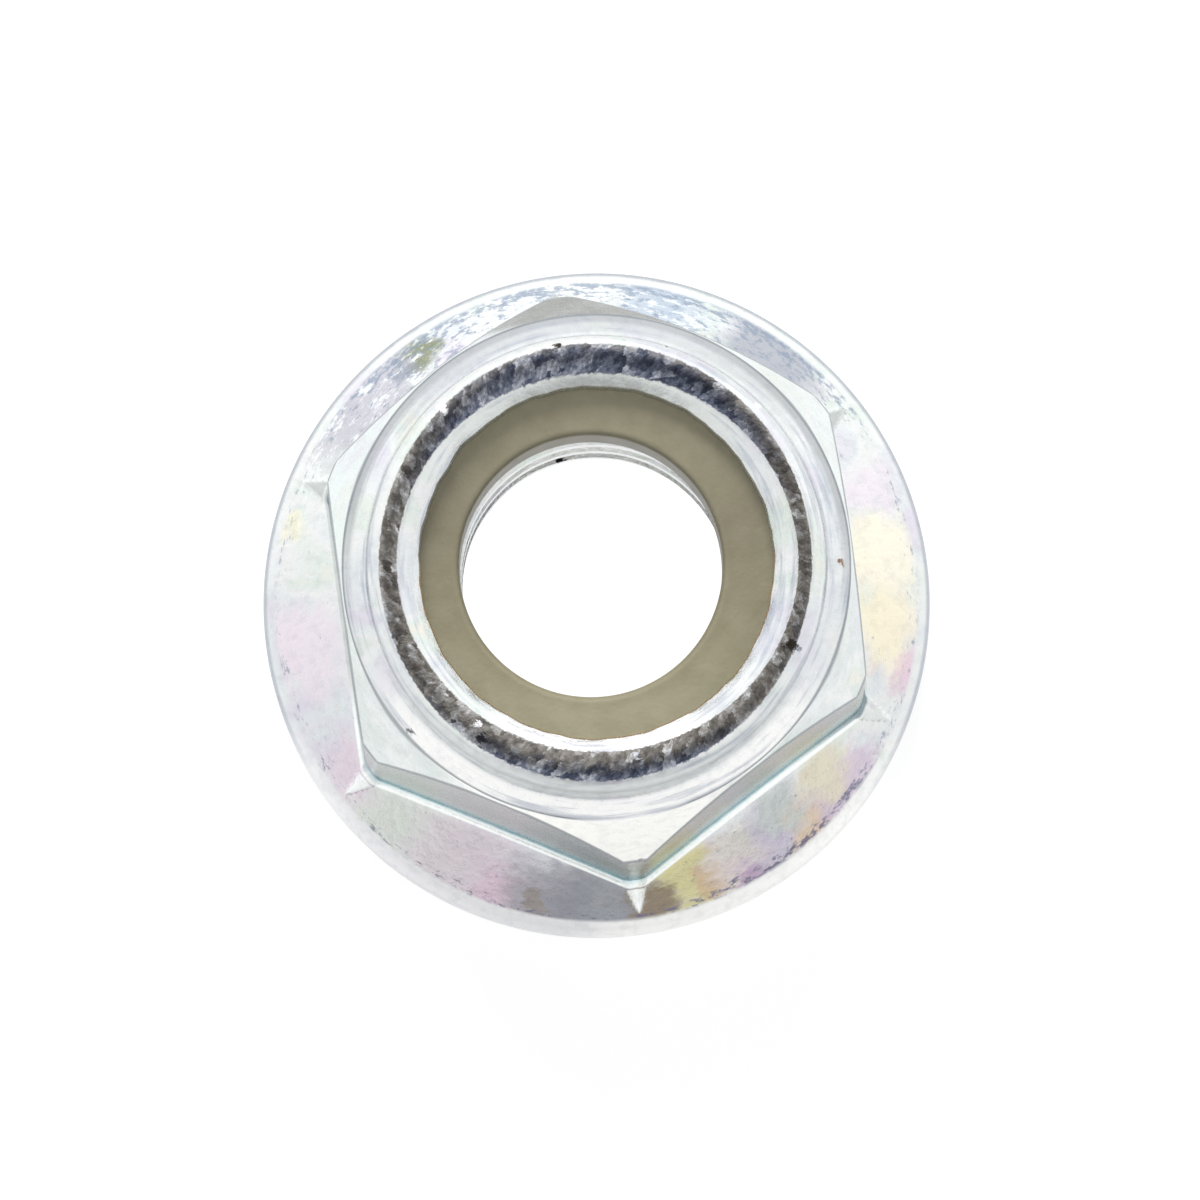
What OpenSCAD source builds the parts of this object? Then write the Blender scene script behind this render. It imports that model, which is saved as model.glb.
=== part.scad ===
// Flange nut with a nylon locking ring, for an M8 x 1.25 thread.
// The axis of the thread is Z. The origin is the centre of the bearing face, and two of the six
// flats face along X. The steel is one cold-formed piece. The ring is a second piece, dropped into
// a pocket at the top and held there by the collar, whose lip is crimped over it.

/* [Flange] */
// Outer diameter of the flange
flange_d = 17.3; // [16.6:0.1:20]
// Height of the flange's edge, where its side and its conical top would meet
rim_h = 1.6; // [1.2:0.05:2]
// Radius of the flange's upper edge
rim_top_r = 0.42; // [0.2:0.02:0.5]
// Radius between the flange's side and its bearing face
rim_bottom_r = 0.5; // [0.2:0.05:0.6]
// Slope of the flange's conical top, in degrees
flange_slope = 20; // [15:1:25]

/* [Hexagon] */
// Width across flats
across_flats = 12.9; // [12.6:0.05:13.2]
// Width across the blunt corners, at their top
across_corners = 14.56; // [14.3:0.02:14.8]
// How much wider the blunt corners are at their foot, on each side
corner_draft = 0.09; // [0:0.01:0.1]
// Height of the corners above the bearing face
corner_h = 6.8; // [5:0.1:8]
// Distance of the blend's outer edge from the flats, at the middle of a flat
foot_w = 0.3; // [0.15:0.05:0.4]
// Distance from the flange's edge to the ends of the ridges below the corners
ridge_inset = 0.43; // [0.4:0.01:0.8]

/* [Collar] */
// Overall height of the nut, to the collar's crest
nut_h = 10.8; // [10.6:0.05:11.3]
// Height of the collar above the shoulder that it stands on
collar_h = 1.2; // [1:0.05:1.4]
// Diameter of the shoulder's outer crease
shoulder_d = 12.76; // [12.3:0.02:12.8]
// Outer diameter of the collar's wall
collar_d = 11.5; // [11:0.05:11.8]
// Radius of the hollow between the shoulder and the collar
collar_foot_r = 0.2; // [0.1:0.05:0.3]
// Outer radius of the collar's crest
crest_r = 0.5; // [0.3:0.05:0.6]
// Radius of the crimp, inside the crest
crimp_r = 1; // [0.8:0.05:1.2]
// Slope of the crimped lip, in degrees
lip_slope = 38; // [30:1:42]
// Diameter of the opening in the lip
lip_d = 8.84; // [8.6:0.02:9.1]
// Radius of the lip's edge
lip_edge_r = 0.12; // [0.06:0.02:0.16]
// Height of the lip's inner face, from the top of the ring to the rounded edge
lip_face_h = 0.41; // [0.3:0.01:0.5]

/* [Bore] */
// Diameter over the thread's crests, which is the bore that is tapped
bore_d = 6.86; // [6.7:0.02:7]
// Diameter of the countersink at the bearing face
countersink_d = 8.8; // [8.2:0.05:9.2]
// Angle of the countersink's side to the axis, in degrees
countersink_slope = 30; // [25:1:45]
// Width of the chamfer at the top of the thread, out to the thread's roots
thread_chamfer = 0.56; // [0.52:0.02:0.7]

/* [Nylon ring] */
// Thickness of the ring
ring_t = 1.65; // [1.4:0.05:1.8]
// Diameter of the pocket that holds the ring
pocket_d = 10.1; // [9.8:0.05:10.4]
// Gap all round between the ring and the pocket
ring_gap = 0.03; // [0.01:0.01:0.1]
// Diameter of the hole in the ring
ring_bore_d = 6.6; // [6.4:0.02:7]
// Radius of the hole's upper edge
ring_edge_r = 0.3; // [0.1:0.05:0.5]

/* [Hidden] */
$fn = 128;
ARC_STEPS = 6;
SIDES = 6;
OVER = 1;
// How far each ridge runs on inside the flange, as a share of its straight run
RIDGE_SINK = 0.3;
// How far below the start of the blend the blunt corners end
CORNER_DROP = 0.15;

flat_r = across_flats / 2;
corner_r = across_corners / 2;
flange_r = flange_d / 2;
shoulder_h = nut_h - collar_h;
slope_t = tan(flange_slope);

// The conical top, as a height at any radius, and the radius where it runs into the rounded edge
function cone_h(r) = rim_h + (flange_r - r) * slope_t;
rim_top_c = [flange_r - rim_top_r, cone_h(flange_r - rim_top_r) - rim_top_r / cos(flange_slope)];

// The blend at the foot of a flat: an arc that leaves the flat, then a straight run that dives
// under the cone at the middle of the flat and comes out of the cone as a ridge at each corner,
// until it sinks into the cone there too
ridge_r = flange_r - ridge_inset;
foot_out = [ridge_r * cos(180 / SIDES), cone_h(ridge_r)];
foot_in = [flat_r + foot_w, cone_h(flat_r + foot_w)];
foot_end = foot_out + (foot_out - foot_in) * RIDGE_SINK;
foot_turn = atan2(foot_out[0] - foot_in[0], foot_in[1] - foot_out[1]);
foot_r = foot_w / (1 - cos(foot_turn));
foot_c = [flat_r + foot_r, foot_in[1] + foot_r * sin(foot_turn)];

collar_r = collar_d / 2;
lip_r = lip_d / 2;
crest_at = collar_r - crest_r;

// Points of an arc about c, from angle a to angle b
function arc(c, r, a, b, steps = ARC_STEPS) =
    [for (i = [0:steps]) let (t = a + (b - a) * i / steps) [c[0] + r * cos(t), c[1] + r * sin(t)]];

// Where the sloped lip ends and its rounded edge begins: the edge's centre lies at its own radius
// below the line that leaves the crimp at the lip's slope
crimp_end = [crest_at - crimp_r * sin(lip_slope), nut_h - crimp_r * (1 - cos(lip_slope))];
lip_edge_c = [lip_r + lip_edge_r,
              crimp_end[1] - (crimp_end[0] - lip_r - lip_edge_r) * tan(lip_slope) - lip_edge_r / cos(lip_slope)];

// The ring's top touches the lip's underside, and the seat that it lies on is one thickness below
ring_top = lip_edge_c[1] - lip_face_h;
seat_h = ring_top - ring_t;

// Round flange: flat bearing face, rounded edge, conical top
module flange() {
    rotate_extrude() polygon(concat(
        [[0, 0]],
        arc([flange_r - rim_bottom_r, rim_bottom_r], rim_bottom_r, -90, 0),
        arc(rim_top_c, rim_top_r, 0, 90 - flange_slope),
        [[collar_r, cone_h(collar_r)], [0, cone_h(collar_r)]]));
}

// Two opposite flats and the blends at their feet, as one slab
module pair_of_flats() {
    side = concat([[flat_r, shoulder_h]],
                  arc(foot_c, foot_r, 180, 180 + foot_turn),
                  [foot_end, [foot_end[0], rim_bottom_r]]);
    other_side = [for (i = [len(side) - 1:-1:0]) [-side[i][0], side[i][1]]];
    rotate([90, 0, 0]) linear_extrude(height = flange_d, center = true)
        polygon(concat(side, other_side));
}

// Hexagon: three crossed slabs, blunted and tapered at the corners, with a steep cone from the
// corners up to the round shoulder
module hexagon() {
    intersection() {
        intersection_for (i = [0:SIDES / 2 - 1]) rotate([0, 0, i * 360 / SIDES]) pair_of_flats();
        rotate_extrude() polygon([[0, rim_bottom_r],
                                  [flange_r, rim_bottom_r],
                                  [flange_r, cone_h(flange_r)],
                                  [corner_r + corner_draft, foot_c[1] - CORNER_DROP],
                                  [corner_r, corner_h],
                                  [shoulder_d / 2, shoulder_h],
                                  [0, shoulder_h]]);
    }
}

// Collar: hollow foot, upright wall, round crest, and the lip crimped inwards over the ring
module collar() {
    rotate_extrude() polygon(concat(
        [[lip_r, seat_h], [collar_r + collar_foot_r, seat_h]],
        arc([collar_r + collar_foot_r, shoulder_h + collar_foot_r], collar_foot_r, 270, 180),
        arc([crest_at, nut_h - crest_r], crest_r, 0, 90),
        arc([crest_at, nut_h - crimp_r], crimp_r, 90, 90 + lip_slope),
        arc(lip_edge_c, lip_edge_r, 90 + lip_slope, 180)));
}

// Countersink, bore at the thread's crests, its upper chamfer, and the ring's pocket
module cavity() {
    countersink_depth = (countersink_d - bore_d) / 2 / tan(countersink_slope);
    rotate_extrude() polygon([
        [0, -OVER],
        [countersink_d / 2 + OVER * tan(countersink_slope), -OVER],
        [bore_d / 2, countersink_depth],
        [bore_d / 2, seat_h - thread_chamfer],
        [bore_d / 2 + thread_chamfer, seat_h],
        [pocket_d / 2, seat_h],
        [pocket_d / 2, ring_top],
        [0, ring_top]]);
}

module steel_body() {
    color("gainsboro") difference() {
        union() {
            flange();
            hexagon();
            collar();
        }
        cavity();
    }
}

// Ring: fills the pocket from its seat to the lip's underside, with a hole a little smaller than
// the thread's crests and a rounded upper edge
module nylon_ring() {
    hole_r = ring_bore_d / 2;
    rim_r = pocket_d / 2 - ring_gap;
    color("darkkhaki") rotate_extrude() polygon(concat(
        [[hole_r, seat_h], [rim_r, seat_h], [rim_r, ring_top]],
        arc([hole_r + ring_edge_r, ring_top - ring_edge_r], ring_edge_r, 90, 180)));
}

steel_body();
nylon_ring();
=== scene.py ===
"""Nylon insert flange nut, M8, seen from above on a white table."""
import math

import bpy
import numpy as np
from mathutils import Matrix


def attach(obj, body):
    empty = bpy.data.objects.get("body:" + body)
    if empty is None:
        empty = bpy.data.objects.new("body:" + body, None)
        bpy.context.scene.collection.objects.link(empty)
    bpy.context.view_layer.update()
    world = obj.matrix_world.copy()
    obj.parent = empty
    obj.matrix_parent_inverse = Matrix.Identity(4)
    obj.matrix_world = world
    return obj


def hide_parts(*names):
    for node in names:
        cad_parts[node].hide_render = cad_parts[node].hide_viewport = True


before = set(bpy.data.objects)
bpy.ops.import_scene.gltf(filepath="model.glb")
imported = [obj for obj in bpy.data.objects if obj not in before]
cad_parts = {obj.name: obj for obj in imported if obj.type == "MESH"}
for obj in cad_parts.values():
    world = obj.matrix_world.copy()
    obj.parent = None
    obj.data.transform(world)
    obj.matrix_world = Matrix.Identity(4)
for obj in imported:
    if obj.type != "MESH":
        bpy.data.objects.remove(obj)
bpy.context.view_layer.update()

# Steel body
# One piece of low-carbon steel, cold formed into a hexagon on a round flange, with a collar that
# is crimped over the nylon ring. It is tapped M8 x 1.25 and zinc plated. The sizes are those of
# the solids, in millimetres; the thread, the rounded edges and the uneven lip are worked out here.
MM = 0.001
SIDES = 6
FLANGE_R = 8.65
RIM_H = 1.6
RIM_TOP_R = 0.42
RIM_BOTTOM_R = 0.5
FLANGE_SLOPE = math.radians(20)
FLAT_R = 6.45
CORNER_R = 7.28
CORNER_DRAFT = 0.09
CORNER_H = 6.8
CORNER_ROUND = 0.05
FOOT_R = 0.2
RIDGE_R = 8.22
RIDGE_H = 0.42
RIDGE_TIP_W = 0.05
RIDGE_ROOT_W = 0.39
BRIM_W = 0.18
SHOULDER_R = 6.38
SHOULDER_H = 9.6
SHOULDER_SLOPE = 24
COLLAR_R = 5.75
HOLLOW_R = 0.3
NUT_H = 10.8
CREST_R = 0.5
CRIMP_R = 1.0
LIP_SLOPE = math.radians(38)
LIP_R = 4.42
LIP_EDGE_R = 0.12
RING_TOP = 9.952
SEAT_H = 8.302
POCKET_R = 5.05
BORE_R = 3.43
COUNTERSINK_R = 4.4
COUNTERSINK_SLOPE = math.radians(30)
THREAD_ROOT_R = 4.0
PITCH = 1.25
THREAD_FLANK = math.radians(30)
THREAD_LOW = 0.69
THREAD_TURNS = 6
# The thread's lower turns widen a little towards the bearing face, where the tap went in
FLARE_H = 4.0
FLARE_SLOPE = math.radians(8.5)
# The band that the crimping tool has rubbed, with a painted dark reflection laid over it: its
# radius and its half width at front and back
BAND_R = 5.21
BAND_HALF_W = 0.22
# The lip's edge is uneven all round, by height, waves to the turn and phase, and has two bumps, by
# height, place and half width in degrees
LIP_WAVES = ((0.012, 3, 2.6), (0.01, 7, 0), (0.01, 19, 1), (0.007, 43, 0))
LIP_BUMPS = ((0.07, 140, 4), (0.03, 197, 3))
# The photograph's horizontal lies this far, in degrees, behind the X axis of the part
VIEW_TURN = 7.8
# Points of a mesh that lie closer together than this are made one
WELD = 0.0004
# Names of the outside's parts, for the finish
BASE, CONE, FLANK, CORNER, COLLAR = range(5)


def smooth_max(a, b, width):
    """The larger of a and b, with the corner between them rounded over the given width."""
    h = np.clip(0.5 + 0.5 * (a - b) / width, 0, 1)
    return b + (a - b) * h + width * h * (1 - h)


def column_angles():
    """Angles of the mesh's columns, in radians: even over the flats and closer by the corners."""
    half = math.pi / SIDES
    near = math.radians(3.2)
    side = np.linspace(-half, -near, 27)[:-1]
    middle = np.linspace(-near, near, 17)
    sextant = np.concatenate([side, middle, -side[:0:-1]])
    turns = half + np.arange(SIDES) * 2 * half
    angles = (turns[:, None] + sextant[None, :]).ravel()
    return np.append(angles, angles[0] + 2 * math.pi)


def arc(centre, radius, start, end, steps):
    """Points of an arc in (r, z), as two arrays, from start to end in degrees."""
    t = np.radians(np.linspace(start, end, steps))
    return centre[0] + radius * np.cos(t), centre[1] + radius * np.sin(t)


def cone_height(r):
    """Height of the flange's conical top at radius r."""
    return RIM_H + (FLANGE_R - r) * math.tan(FLANGE_SLOPE)


def flank_share(theta):
    """Cosine between a direction and the nearest flat's normal, with the corners rounded."""
    normals = np.arange(SIDES) * 2 * math.pi / SIDES
    cosines = np.sort(np.cos(theta[:, None] - normals[None, :]), axis=1)
    return smooth_max(cosines[:, -1], cosines[:, -2], 0.12 * CORNER_ROUND)


def outside_profile(theta):
    """Rows of the outside, from the countersink's edge over the flange and the hexagon to the
    shoulder: r and z as arrays of rows by columns, and the part that each row belongs to. The blend
    at the hexagon's foot is a quarter circle carried along the cone, at the same distance from the
    flat all the way. The ridge below a corner is a narrow wedge that runs out on the cone."""
    share = flank_share(theta)
    corners = math.pi / SIDES + np.arange(SIDES) * 2 * math.pi / SIDES
    swing = np.abs(np.angle(np.exp(1j * (theta[:, None] - corners[None, :])))).min(axis=1)
    rows_r, rows_z, parts = [], [], []

    def add(r, z, part):
        """One more row of the part, from a number or an array over the columns."""
        rows_r.append(np.broadcast_to(r, theta.shape).astype(float))
        rows_z.append(np.broadcast_to(z, theta.shape).astype(float))
        parts.append(part)

    def wall(out):
        """Radius of the outline that lies outside the hexagon's foot by the given distance."""
        blunt = CORNER_R + CORNER_DRAFT + out
        return -smooth_max(-(FLAT_R + out) / share, -blunt, CORNER_ROUND)

    def ridge(r):
        """Height of the ridge over the cone: a wedge that narrows and sinks as it runs out."""
        left = np.clip((RIDGE_R - r) / (RIDGE_R - CORNER_R), 0, 1)
        half_w = RIDGE_TIP_W + (RIDGE_ROOT_W - RIDGE_TIP_W) * left
        return RIDGE_H * left ** 0.8 * np.clip(1 - swing * r / half_w, 0, 1)

    for r in (COUNTERSINK_R + 0.06, 4.9, 5.7, 6.6, 7.5):
        add(r, 0, BASE)
    for r, z in zip(*arc((FLANGE_R - RIM_BOTTOM_R, RIM_BOTTOM_R), RIM_BOTTOM_R, -90, 0, 9)):
        add(r, z, BASE)
    rim_c = (FLANGE_R - RIM_TOP_R,
             cone_height(FLANGE_R - RIM_TOP_R) - RIM_TOP_R / math.cos(FLANGE_SLOPE))
    for r, z in zip(*arc(rim_c, RIM_TOP_R, 0, 90 - math.degrees(FLANGE_SLOPE), 9)):
        add(r, z, BASE)
    cone_end = rim_c[0] + RIM_TOP_R * math.sin(FLANGE_SLOPE)
    foot_out = wall(FOOT_R)
    for t in np.linspace(0, 1, 19)[1:-1]:
        r = cone_end + (foot_out - cone_end) * t
        add(r, cone_height(r) + ridge(r), CONE)
    for t in np.radians(np.linspace(0, 90, 9)):
        r = wall(FOOT_R * (1 - math.sin(t)))
        blend = cone_height(r) + FOOT_R * (1 - math.cos(t))
        add(r, smooth_max(blend, cone_height(r) + ridge(r), 0.03), FLANK)

    # the flat, up to the height where the steep cone trims it
    cone_tan = (CORNER_R - SHOULDER_R) / (SHOULDER_H - CORNER_H)
    foot_z = rows_z[-1]
    low = foot_z.min()
    flat_r = FLAT_R / share
    trim = SHOULDER_H - (np.minimum(flat_r, CORNER_R) - SHOULDER_R) / cone_tan
    trim = np.minimum(trim, SHOULDER_H - 0.02)
    for t in (0.06, 0.14, 0.3, 0.5, 0.7, 0.85, 0.93, 0.97, 1.0):
        z = foot_z + (trim - foot_z) * t
        blunt = CORNER_R + CORNER_DRAFT * np.clip((CORNER_H - z) / (CORNER_H - low), 0, 1)
        add(-smooth_max(-flat_r, -blunt, CORNER_ROUND), z, FLANK)

    # the steep cone, from a narrow brim up to the shoulder
    brim = np.minimum(BRIM_W, (SHOULDER_H - trim) * 0.5)
    for t in (-0.5, 0, 0.18, 0.35, 0.55, 0.75, 0.9, 0.97):
        z = trim + brim + (t * brim if t < 0 else t * (SHOULDER_H - trim - brim))
        blunt = SHOULDER_R + (SHOULDER_H - z) * cone_tan
        add(-smooth_max(-np.maximum(flat_r, blunt), -blunt, 0.01), z, CORNER)
    return np.array(rows_r), np.array(rows_z), np.array(parts)


def collar_profile(theta, lip_wave):
    """Rows of the collar and of what lies inside it, from the shoulder to the ring's seat: a
    hollow foot, an upright wall, the round crest, the crimped lip, its edge, and the pocket."""
    rows_r, rows_z = [], []

    def add(r, z):
        """One more row, from a number or an array over the columns."""
        rows_r.append(np.broadcast_to(r, theta.shape).astype(float))
        rows_z.append(np.broadcast_to(z, theta.shape).astype(float))

    start = math.radians(270 - SHOULDER_SLOPE)
    hollow_at = COLLAR_R + HOLLOW_R * (1 + math.cos(start))
    rise = math.tan(math.radians(SHOULDER_SLOPE))
    for r in (6.365, 6.32, 6.24, 6.14, 6.03, 5.98):
        add(r, SHOULDER_H + (SHOULDER_R - r) * rise)
    hollow_z = SHOULDER_H + (SHOULDER_R - hollow_at) * rise - HOLLOW_R * math.sin(start)
    for r, z in zip(*arc((COLLAR_R + HOLLOW_R, hollow_z), HOLLOW_R, 270 - SHOULDER_SLOPE, 180, 8)):
        add(r, z)
    crest_at = COLLAR_R - CREST_R
    add(COLLAR_R, NUT_H - 1.2 * CREST_R)
    for r, z in zip(*arc((crest_at, NUT_H - CREST_R), CREST_R, 0, 90, 11)):
        add(r, z)
    slope = math.degrees(LIP_SLOPE)
    inner = arc((crest_at, NUT_H - CRIMP_R), CRIMP_R, 90, 90 + slope, 9)
    for r, z in list(zip(*inner))[1:]:
        add(r, z)
    end_r, end_z = inner[0][-1], inner[1][-1]
    edge_r = LIP_R + LIP_EDGE_R
    edge_z = end_z - (end_r - edge_r) * math.tan(LIP_SLOPE) - LIP_EDGE_R / math.cos(LIP_SLOPE)
    for r, z in zip(*arc((edge_r, edge_z), LIP_EDGE_R, 90 + slope, 180, 6)):
        add(r + lip_wave, z)
    add(LIP_R + lip_wave, (edge_z + RING_TOP) / 2)
    add(LIP_R + lip_wave, RING_TOP + 0.01)
    add(4.8, RING_TOP + 0.01)
    add(POCKET_R, RING_TOP + 0.01)
    add(POCKET_R, (RING_TOP + SEAT_H) / 2)
    add(POCKET_R, SEAT_H)
    add(4.5, SEAT_H)
    add(THREAD_ROOT_R, SEAT_H)
    return np.array(rows_r), np.array(rows_z)


def thread_profile(theta):
    """Rows of the tapped bore, from the seat down to the countersink. Rows follow the thread's
    own rise, pitch times angle over a full turn, and a block of rows at each end grows from
    nothing to a full pitch, so that the last column meets the first one a turn further on. The
    radius is the largest of the groove, the countersink, the flared mouth and the top chamfer."""
    phases = np.array([0, .0625, .15, .24, .3257, .36, .43, .5, .57, .64, .6743, .76, .85, .9375])
    share = (theta - theta[0]) / (2 * math.pi)
    rows = [THREAD_LOW + PITCH * p * share for p in phases]
    for i in range(THREAD_TURNS - 1):
        rows += [THREAD_LOW + PITCH * (p + i + share) for p in phases]
    start = THREAD_LOW + PITCH * (THREAD_TURNS - 1 + share)
    rows += [start + PITCH * p * (1 - share) for p in phases]
    rows.append(np.full_like(theta, THREAD_LOW + PITCH * THREAD_TURNS))
    z = np.array(rows)[::-1]
    phase = (z - THREAD_LOW) / PITCH - share[None, :]
    off = np.abs(phase - np.round(phase)) * PITCH
    groove = np.clip(THREAD_ROOT_R - (off - PITCH / 16) / math.tan(THREAD_FLANK), BORE_R,
                     THREAD_ROOT_R)
    sink = BORE_R + ((COUNTERSINK_R - BORE_R) / math.tan(COUNTERSINK_SLOPE) - z) * math.tan(
        COUNTERSINK_SLOPE)
    mouth = BORE_R + (FLARE_H - z) * math.tan(FLARE_SLOPE)
    top = BORE_R + z - (SEAT_H - THREAD_ROOT_R + BORE_R)
    r = np.maximum.reduce([groove, sink, np.minimum(mouth, THREAD_ROOT_R), top])
    return r, z


def shell(name, r, z, theta, marks=None):
    """Closed mesh from rows of (r, z) over the columns' angles, its last row joined to its first.
    Points that fall together are made one, which closes the seam and the thread's two ends. Each
    mark is an array of the rows' shape, kept on the mesh as a named attribute for its material."""
    x, y = r * np.cos(theta), r * np.sin(theta)
    rows, cols = z.shape
    flat = np.stack([x, y, z], axis=-1).reshape(-1, 3) * MM
    keys = np.round(flat / (WELD * MM)).astype(np.int64)
    _, first, back = np.unique(keys, axis=0, return_index=True, return_inverse=True)
    back = back.reshape(rows, cols)
    down = np.roll(back, -1, axis=0)
    quads = np.stack([back[:, :-1], back[:, 1:], down[:, 1:], down[:, :-1]], axis=-1).reshape(-1, 4)
    same = quads == np.roll(quads, -1, axis=1)
    whole = quads[~same.any(axis=1)]
    part = quads[same.sum(axis=1) == 1]
    cut = same[same.sum(axis=1) == 1]
    thin = part[~cut].reshape(-1, 3)
    mesh = bpy.data.meshes.new(name)
    mesh.from_pydata(flat[first].tolist(), [], whole.tolist() + thin.tolist())
    mesh.polygons.foreach_set("use_smooth", np.ones(len(mesh.polygons), dtype=bool))
    for mark, values in (marks or {}).items():
        layer = mesh.attributes.new(mark, "FLOAT", "POINT")
        layer.data.foreach_set("value", values.reshape(-1)[first].astype(np.float32))
    mesh.update()
    obj = bpy.data.objects.new(name, mesh)
    bpy.context.scene.collection.objects.link(obj)
    return obj


def band_share(r, z, theta):
    """How deep a point of the crest lies in the rubbed band, which also carries a painted dark
    reflection: 1 at the band's middle, falling evenly to 0 at its edge and on to -3, its value off
    the crest. The band is narrow at the sides and wide at front and back."""
    at = theta + math.radians(VIEW_TURN)
    side = np.sin(at) ** 2
    middle = BAND_R - 0.06 * side - 0.04 * np.maximum(np.sin(at), 0)
    depth = 1 - np.abs(r - middle) / (BAND_HALF_W + 0.19 * side - 0.03 * np.cos(at))
    return np.where(z > NUT_H - 1.2 * CREST_R, np.maximum(depth, -3), -3)


theta = column_angles()
wave_at = theta + math.radians(VIEW_TURN)
lip_wave = sum(high * np.sin(waves * wave_at + phase) for high, waves, phase in LIP_WAVES)
lip_wave += sum(high * np.exp(-((wave_at - math.radians(at)) / math.radians(wide)) ** 2)
                for high, at, wide in LIP_BUMPS)
out_r, out_z, out_part = outside_profile(theta)
col_r, col_z = collar_profile(theta, lip_wave)
thr_r, thr_z = thread_profile(theta)
body_r = np.concatenate([out_r, col_r, thr_r])
body_z = np.concatenate([out_z, col_z, thr_z])
part = np.concatenate([out_part, np.full(len(col_r) + len(thr_r), COLLAR)])
zone = np.broadcast_to(part[:, None], body_r.shape)

# marks for the finish: the ridges belong to the flanks, and two thin lines of painted shade run
# along the flanks' brims and along the shoulder, where the second one fades at the front
on_ridge = np.clip((body_z - cone_height(body_r) - 0.02) / 0.06, 0, 1) * (zone == CONE)
foot_row, brim_row = np.flatnonzero(out_part == FLANK)[[0, -1]]
rise = body_z - body_z[foot_row]
fading = np.exp(-((wave_at - math.radians(278)) / math.radians(16)) ** 2)
crease = np.zeros_like(body_z)
crease[brim_row:brim_row + 2] = 0.9
crease[len(out_part) - 1:len(out_part) + 1] = 0.8 * (1 - fading)
steel = shell("steel_nut", body_r, body_z, theta, {
    "flange_top": (zone == CONE) - on_ridge + (rise == 0),
    "flank": (zone == FLANK) * (rise > 0) + on_ridge,
    "corner": zone == CORNER,
    "rise": rise,
    "crease": crease,
    "burnish_and_reflection": band_share(body_r, body_z, theta)})
steel.data.set_sharp_from_angle(angle=math.radians(14))
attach(steel, "root")
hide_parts("steel_body")


def linear(code):
    """Linear colour with alpha from an sRGB hex code."""
    srgb = np.array([int(code[i:i + 2], 16) / 255 for i in (1, 3, 5)])
    low = srgb / 12.92
    high = ((srgb + 0.055) / 1.055) ** 2.4
    return (*np.where(srgb <= 0.04045, low, high).tolist(), 1.0)


def node(tree, kind, inputs=None, stops=(), **settings):
    """Add a node, set its settings, a ramp's stops as (position, hex code) from the lowest up, and
    link or set its inputs by name or number."""
    made = tree.nodes.new(kind)
    for key, value in settings.items():
        setattr(made, key, value)
    for i, (position, code) in enumerate(stops):
        elements = made.color_ramp.elements
        stop = elements[i] if i < 2 else elements.new(position)
        stop.position, stop.color = position, linear(code)
    for key, value in (inputs or {}).items():
        if isinstance(value, bpy.types.NodeSocket):
            tree.links.new(value, made.inputs[key])
        else:
            made.inputs[key].default_value = value
    return made


def new_material(name):
    """An empty node material with its output node."""
    made = bpy.data.materials.new(name)
    made.use_nodes = True
    made.node_tree.nodes.clear()
    return made, made.node_tree, made.node_tree.nodes.new("ShaderNodeOutputMaterial")


def turned_mm(tree):
    """Object coordinates in millimetres, turned so that X is the photograph's horizontal."""
    place = node(tree, "ShaderNodeTexCoord")
    return node(tree, "ShaderNodeMapping", {"Vector": place.outputs["Object"],
                                            "Rotation": (0, 0, math.radians(VIEW_TURN)),
                                            "Scale": (1 / MM, 1 / MM, 1 / MM)}).outputs[0]


# Zinc plated in a barrel and passivated pale blue: a bright metal, a little cloudy, with faint
# interference colours, rubbed and scratched where the nuts struck each other and the crimping tool.
# Its colour also carries painted reflections, highlights and shade, on the flats, the steep
# corners, the shoulder, the collar, the crest's band, the lip and the front of the flange.
# Widths of its patterns, in millimetres. The plate's real grain is a tenth as wide as drawn here,
# and too fine to show.
CLOUD_W = 2.0
GRAIN_W = 5 / 17
WANDER_W = 10 / 13
TEAR_W = 5 / 23
SPECK_W = 2 / 13
SMEAR_W = 5 / 8
HATCH_W = 1 / 8
CHIP_W = 5 / 21
DRAG_W = 5 / 12
PLATE_GREY = ((0.3, "#D4D0DA"), (0.42, "#D6DBDD"), (0.52, "#E0E1E1"), (0.62, "#D5DDD8"),
              (0.74, "#E2DDD2"))
zinc, tree, output = new_material("zinc_plate_with_painted_reflections")
mm = turned_mm(tree)
axes = node(tree, "ShaderNodeSeparateXYZ", {0: mm})
level = node(tree, "ShaderNodeVectorMath", {0: mm, 1: (1, 1, 0)}, operation="MULTIPLY")
radius = node(tree, "ShaderNodeVectorMath", {0: level.outputs[0]}, operation="LENGTH")
unit = node(tree, "ShaderNodeVectorMath", {0: level.outputs[0]}, operation="NORMALIZE")
toward = node(tree, "ShaderNodeSeparateXYZ", {0: unit.outputs[0]})
outward = node(tree, "ShaderNodeCombineXYZ", {"Z": radius.outputs["Value"]})

# patterns: clouds and grain of the coating, noises swept round the axis, and the slanted hatching
# of the rubbed crest with the chips between its strokes
clouds = node(tree, "ShaderNodeTexNoise", {"Vector": mm, "Scale": 1 / CLOUD_W, "Detail": 4.0,
                                           "Distortion": 0.8})
plate = node(tree, "ShaderNodeValToRGB", {"Fac": clouds.outputs["Fac"]}, stops=PLATE_GREY)
grain = node(tree, "ShaderNodeTexNoise", {"Vector": mm, "Scale": 1 / GRAIN_W, "Detail": 7.0,
                                          "Roughness": 0.6})
swept = node(tree, "ShaderNodeVectorMath", {0: unit.outputs[0], 1: (4, 4, 0),
                                            2: outward.outputs[0]}, operation="MULTIPLY_ADD")
swept = node(tree, "ShaderNodeMapping", {"Vector": swept.outputs[0], "Scale": (1, 1, 1.5)})
wander = node(tree, "ShaderNodeTexNoise", {"Vector": swept.outputs[0], "Scale": 1 / WANDER_W,
                                           "Detail": 9.0, "Roughness": 0.72})
torn = node(tree, "ShaderNodeTexNoise", {"Vector": swept.outputs[0], "Scale": 1 / TEAR_W,
                                         "Detail": 8.0, "Roughness": 0.72})
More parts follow.
